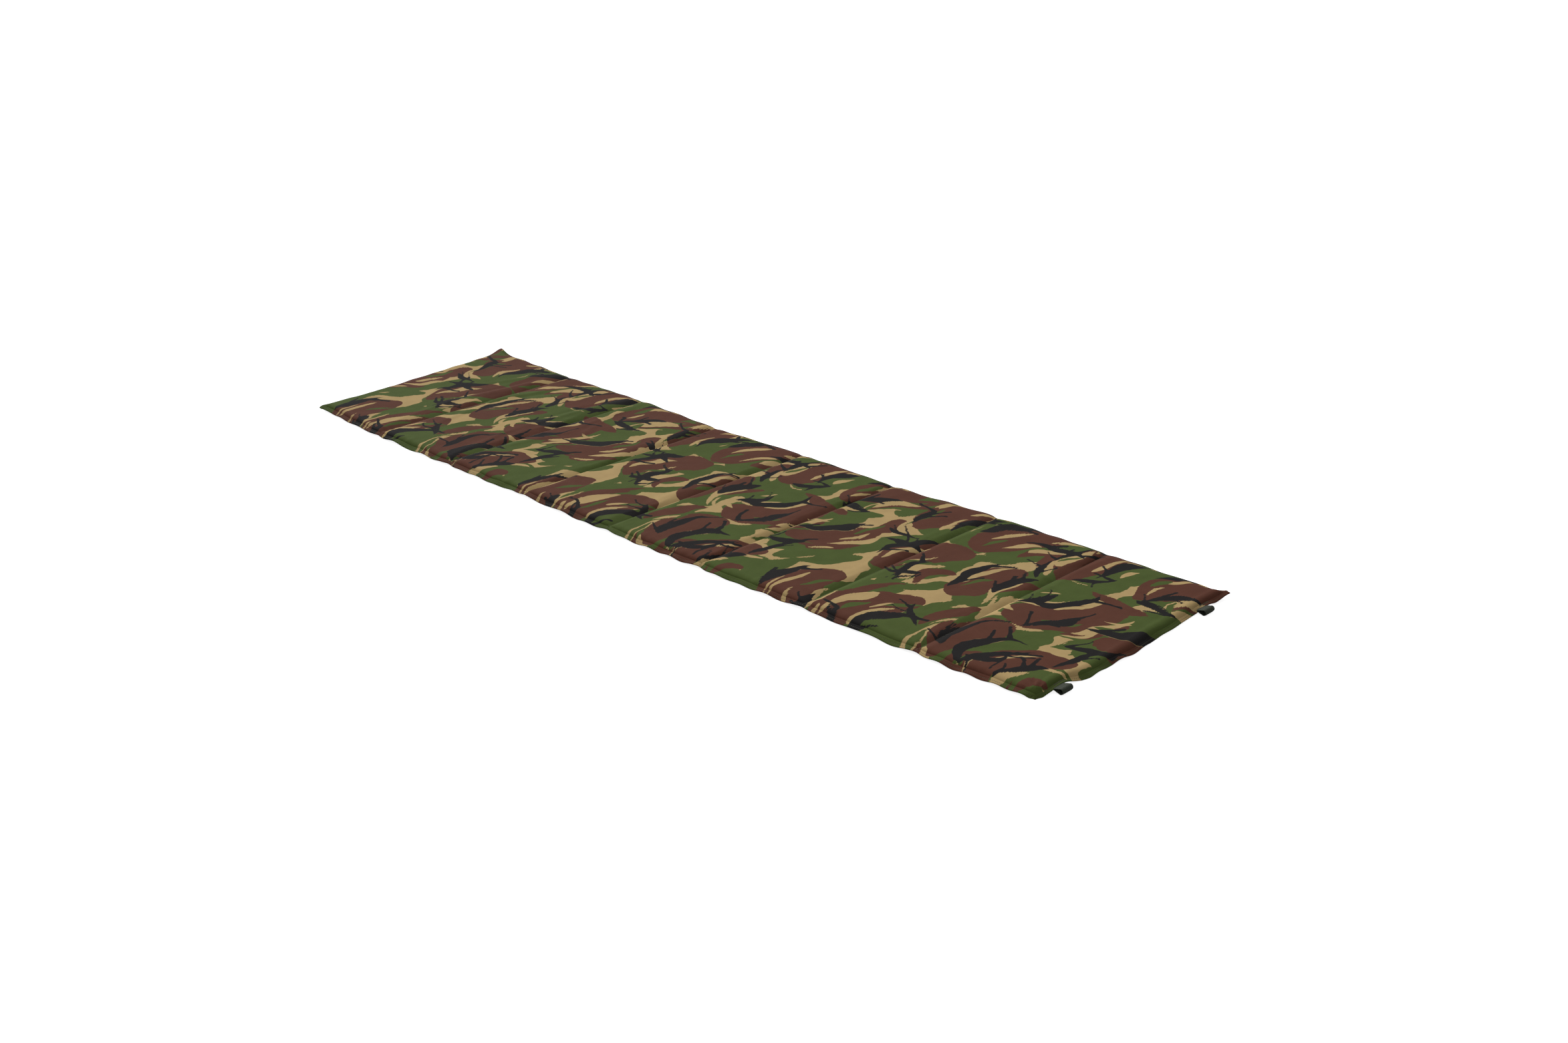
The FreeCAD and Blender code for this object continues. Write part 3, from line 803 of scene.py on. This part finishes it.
def hem_piece(half):
    """The turned and sewn hem along both long edges of half a panel."""
    low, high = half["from"], half["to"]
    run = np.linspace(low, high, round((high - low) / HEM_GRID) + 1)
    ring = len(HEM_SECTION)
    points, faces = [], []
    for sign in (-1, 1):
        base = sum(len(p) for p in points)
        points.append(hem_strip(run, "y", sign, HEM_INNER))
        faces += [[base + i for i in face] for face in strip_faces(len(run), ring, sign)]
    points = np.concatenate(points)
    piece = make_piece(f"hem_{half['name']}", settle(points), faces, CLOTH, sharp=60)
    give_print(piece, points[:, 0], points[:, 1])
    attach(piece, half)
    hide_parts(f"edge_hem_{half['panel']}", *half["webs"])


def end_hem_piece(name, node, body, sign, inner):
    """The hem across one end of the mat, corners included."""
    run = np.linspace(-HEM_OUTER, HEM_OUTER, round(2 * HEM_OUTER / HEM_GRID) + 1)
    points = hem_strip(run, "x", sign, abs(inner))
    faces = strip_faces(len(run), len(HEM_SECTION), -sign)
    piece = make_piece(name, settle(points), faces, CLOTH, sharp=60)
    give_print(piece, points[:, 0], points[:, 1])
    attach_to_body(piece, body)
    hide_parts(node)


def stitches(name, places, length=STITCH_LENGTH, width=STITCH_WIDTH, height=STITCH_HEIGHT):
    """One mesh of many short stitches: places are (x, y, z, heading in radians)."""
    rings, sides = 5, 6
    t = np.linspace(-1, 1, rings)
    along = np.sin(t * math.pi / 2) * length / 2
    size = np.sqrt(np.maximum(1 - t ** 4, 0.03))
    turn = np.arange(sides) * math.tau / sides
    points, faces = [], []
    for number, (x, y, z, heading) in enumerate(places):
        c, s = math.cos(heading), math.sin(heading)
        base = number * rings * sides
        across = np.outer(size, np.cos(turn)) * width / 2
        up = np.outer(size, np.sin(turn)) * height / 2
        sink = (np.abs(t) ** 3 * height * 0.45)[:, None]
        px = x + along[:, None] * c - across * s
        py = y + along[:, None] * s + across * c
        points.append(np.stack([px, py, z + up - sink], 2).reshape(-1, 3))
        faces += [[base + i for i in face] for face in strip_faces(rings, sides, -1)]
    return make_piece(name, np.concatenate(points), faces, THREAD)


STITCH_LIFT, STITCH_SINK = 0.05, 0.2  # a stitch's middle off the web's face, and into the hem's
SEAM_INSET = 3.0                      # a seam's stitches stop this far inside the mat's edge
ACROSS = math.pi / 2                  # heading of a stitch that lies across the mat


def seam_row(fold_number):
    """Stitches along one fold's stitch line, on both faces of the mat."""
    rng = np.random.default_rng(70 + fold_number)
    ys = np.arange(-HEM_OUTER + SEAM_INSET, HEM_OUTER - SEAM_INSET, STITCH_PITCH)
    xs = FOLDS[fold_number] + 0.35 * ripple(ys, 80 + fold_number, 60, 200)
    over_hem = np.abs(ys) > HEM_INNER - 1
    upper = np.where(over_hem, MIDDLE + HALF_HEM - STITCH_SINK, MIDDLE + HALF_WEB + STITCH_LIFT)
    lower = np.where(over_hem, MIDDLE - HALF_HEM + STITCH_SINK, MIDDLE - HALF_WEB - STITCH_LIFT)
    places = []
    for zs in (upper, lower):
        points = settle(np.stack([xs, ys, zs], 1))
        places += [(*p, ACROSS + rng.normal(0, 0.06)) for p in points]
    piece = stitches(f"fold_stitches_{fold_number + 1}", places)
    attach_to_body(piece, f"fold_{fold_number + 1}")
    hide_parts(f"fold_stitching_{fold_number + 1}")


CORNER_INSET = 4.0       # the hem's stitches stop this far inside the mat's ends
GROOVE_SHARE = 0.6       # the groove they lie in, as a share of half the hem's thickness,
GROOVE_LIFT = 0.12       # and how far they stand off it


def hem_row(half):
    """Top stitching along the hems of half a panel, and across the end if it has one."""
    is_foot_half = half["from"] == CENTRES[half["panel"] - 1]
    rng = np.random.default_rng(90 + half["panel"] * 2 + is_foot_half)
    low, high = half["from"], half["to"]
    if half["hinge"] is None and half["panel"] == 1:
        low = HEAD_EDGE + CORNER_INSET
    elif half["hinge"] is None:
        high = FOOT_EDGE - CORNER_INSET

    def row(xs, ys, heading):
        """Places of stitches along the hem."""
        zs = hem_height(xs, ys) + GROOVE_SHARE * HALF_HEM + GROOVE_LIFT
        return [(*p, heading + rng.normal(0, 0.05)) for p in settle(np.stack([xs, ys, zs], 1))]

    places = []
    for side in (-1, 1):
        xs = np.arange(low + STITCH_PITCH / 2, high, STITCH_PITCH)
        places += row(xs, np.full_like(xs, side * STITCH_LINE), 0.0)
    if half["hinge"] is None:
        inset = HEM_OUTER - STITCH_LINE
        x = HEAD_EDGE + inset if half["panel"] == 1 else FOOT_EDGE - inset
        ys = np.arange(-STITCH_LINE + STITCH_PITCH, STITCH_LINE - STITCH_PITCH, STITCH_PITCH)
        places += row(np.full_like(ys, x), ys, ACROSS)
    piece = stitches(f"hem_stitches_{half['name']}", places)
    attach(piece, half)
    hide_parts(f"edge_stitching_{half['panel']}")


LOOP_SLACK = 1.2   # how much smaller the loop's radius is than the CAD loop's
LOOP_TURN = 128    # how far round the loop goes to each side of its tip, in degrees


def webbing_loop(name):
    """A short length of webbing sewn into the hem, doubled back to make an open loop."""
    low, high = box_mm(f"strap_loop_{name}")
    thick = WEBBING_THICK
    radius = (high[2] - low[2]) / 2 - thick / 2 - LOOP_SLACK
    centre = high[0] - thick / 2 - radius
    turn = np.radians(np.linspace(LOOP_TURN, -LOOP_TURN, 34))
    round_x, round_z = centre + radius * np.cos(turn), MIDDLE + radius * np.sin(turn)
    gap = thick / 2 + 0.15
    neck_x = np.linspace(low[0] + 0.2, round_x[0], 7)[:-1]
    t = (neck_x - neck_x[0]) / (round_x[0] - neck_x[0])
    neck_z = MIDDLE + gap + (round_z[0] - MIDDLE - gap) * t * t * (3 - 2 * t)
    path_x = np.concatenate([neck_x, round_x, neck_x[::-1]])
    path_z = np.concatenate([neck_z, round_z, 2 * MIDDLE - neck_z[::-1]])
    tangent = np.stack([np.gradient(path_x), np.gradient(path_z)], 1)
    tangent /= np.linalg.norm(tangent, axis=1)[:, None]
    normal = np.stack([-tangent[:, 1], tangent[:, 0]], 1)
    length = np.concatenate([[0], np.cumsum(np.hypot(np.diff(path_x), np.diff(path_z)))])
    across = np.linspace(-1, 1, 15)
    half_width = (high[1] - low[1]) / 2
    middle_y = (high[1] + low[1]) / 2
    edge = np.sqrt(1 - 0.85 * across ** 8)
    section = [(a, e) for a, e in zip(across, edge)] + [(a, -e) for a, e in zip(across[::-1], edge[::-1])]
    points, place = [], []
    for i in range(len(path_x)):
        lean = 0.1 * math.sin(length[i] / 9.0)
        for a, e in section:
            off = e * thick / 2
            points.append((path_x[i] + normal[i, 0] * off - LOOP_TUCK[name],
                           middle_y + a * half_width + lean * (1 - abs(a)),
                           path_z[i] + normal[i, 1] * off - LOOP_DROP))
            place.append((length[i], a * half_width, 0.0))
    faces = strip_faces(len(path_x), len(section), 1)
    piece = make_piece(f"webbing_loop_{name}", points, faces, WEBBING, sharp=50)
    store = piece.data.attributes.new("cloth_place", "FLOAT_VECTOR", "POINT")
    store.data.foreach_set("vector", np.array(place, np.float32).ravel())
    bend(piece, f"panel_{PANELS}", f"loop_{name}", f"loop_{name}_flop", LOOP_BLEND)
    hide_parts(f"strap_loop_{name}")


def bar_tack(name):
    """Dense zigzag stitching that holds a loop's ends in the hem."""
    low, high = box_mm(f"bar_tack_{name}")
    ys = np.arange(low[1] + 0.6, high[1] - 0.4, TACK_PITCH)
    x = (low[0] + high[0]) / 2
    base = np.stack([np.full_like(ys, x), ys, np.zeros_like(ys)], 1)
    base[:, 2] = hem_height(base[:, 0], base[:, 1]) + HALF_HEM
    places = [(*p, ZIGZAG * (-1) ** i) for i, p in enumerate(settle(base))]
    piece = stitches(f"bar_tack_stitches_{name}", places, length=TACK_LENGTH, width=TACK_WIDTH)
    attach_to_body(piece, f"panel_{PANELS}")
    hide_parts(f"bar_tack_{name}")


# ---------------------------------------------------------------- the mat

for half in halves():
    cover_piece(half)
    hem_piece(half)
    hem_row(half)
for fold_number in range(PANELS - 1):
    seam_row(fold_number)
end_hem_piece("hem_head_end", "end_hem_head", "panel_1", -1, HEAD_HEM)
end_hem_piece("hem_foot_end", "end_hem_foot", f"panel_{PANELS}", 1, FOOT_HEM)
for name in ("near", "far"):
    webbing_loop(name)
    bar_tack(name)
for k in range(1, PANELS + 1):
    foam_piece(k)

# ---------------------------------------------------------------- floor, light and camera

# The object stands on plain white: the floor is mid grey to the light, so that it lights the
# mat's sides only a little, and glows to the camera. The world, too, is brighter to the camera.
FLOOR_SIZE, FLOOR_DROP = 60.0, 0.0005  # metres; it lies just under the mat
FLOOR_GREY = (0.42, 0.42, 0.42, 1)
FLOOR_GLOW_SEEN = 0.85
WORLD_LIGHT, WORLD_SEEN = 0.58, 1.3
SUN_STRENGTH, SUN_SPREAD = 3.6, 40  # a wide, soft sun; its spread is in degrees
SUN_DIRECTION = (1.0, -0.25, -0.80)

# the photograph's point of view, in metres, degrees and millimetres of lens
CAMERA_PLACE = (2.2911, -2.1793, 1.2515)
CAMERA_AZIMUTH, CAMERA_ELEVATION = 44.07, 22.47
CAMERA_LENS, CAMERA_SENSOR = 41.58, 36.0
CAMERA_NEAR, CAMERA_FAR = 0.05, 200


def lay_floor():
    """A floor that runs far past the view and glows only to the camera."""
    s = FLOOR_SIZE
    mesh = bpy.data.meshes.new("floor")
    mesh.from_pydata([(-s, -s, 0), (s, -s, 0), (s, s, 0), (-s, s, 0)], [], [(0, 1, 2, 3)])
    surface = Surface("pale_floor", Roughness=0.9, Base_Color=FLOOR_GREY, Emission_Color=WHITE)
    seen = surface.node("LightPath").outputs["Is Camera Ray"]
    surface.link(surface.step(seen, 0, 1, 0.0, FLOOR_GLOW_SEEN), "Emission Strength")
    mesh.materials.append(surface.material)
    floor = bpy.data.objects.new("floor", mesh)
    floor.location.z = -FLOOR_DROP
    bpy.context.collection.objects.link(floor)


def world_light():
    """Even white light from all round, brighter to the camera than as a light."""
    world = bpy.data.worlds.new("studio")
    world.use_nodes = True
    nodes, links = world.node_tree.nodes, world.node_tree.links
    seen = nodes.new("ShaderNodeLightPath")
    strength = nodes.new("ShaderNodeMapRange")
    strength.inputs["To Min"].default_value = WORLD_LIGHT
    strength.inputs["To Max"].default_value = WORLD_SEEN
    links.new(seen.outputs["Is Camera Ray"], strength.inputs["Value"])
    links.new(strength.outputs["Result"], nodes["Background"].inputs["Strength"])
    nodes["Background"].inputs["Color"].default_value = WHITE
    bpy.context.scene.world = world


def key_light():
    """A soft sun from the head end, a little to the far side."""
    data = bpy.data.lights.new("key_light", "SUN")
    data.energy, data.angle = SUN_STRENGTH, math.radians(SUN_SPREAD)
    key = bpy.data.objects.new("key_light", data)
    key.rotation_euler = Vector(SUN_DIRECTION).to_track_quat("-Z", "Y").to_euler()
    bpy.context.collection.objects.link(key)


def camera():
    """The photograph's point of view: place, direction and focal length."""
    azimuth, elevation = math.radians(CAMERA_AZIMUTH), math.radians(CAMERA_ELEVATION)
    data = bpy.data.cameras.new("camera")
    data.sensor_width, data.lens = CAMERA_SENSOR, CAMERA_LENS
    data.clip_start, data.clip_end = CAMERA_NEAR, CAMERA_FAR
    view = bpy.data.objects.new("camera", data)
    forward = Vector((-math.sin(azimuth) * math.cos(elevation),
                      math.cos(azimuth) * math.cos(elevation), -math.sin(elevation)))
    view.location = CAMERA_PLACE
    view.rotation_mode = "QUATERNION"
    view.rotation_quaternion = forward.to_track_quat("-Z", "Y")
    bpy.context.collection.objects.link(view)
    bpy.context.scene.camera = view


lay_floor()
world_light()
key_light()
camera()
bpy.context.scene.view_settings.view_transform = "Standard"
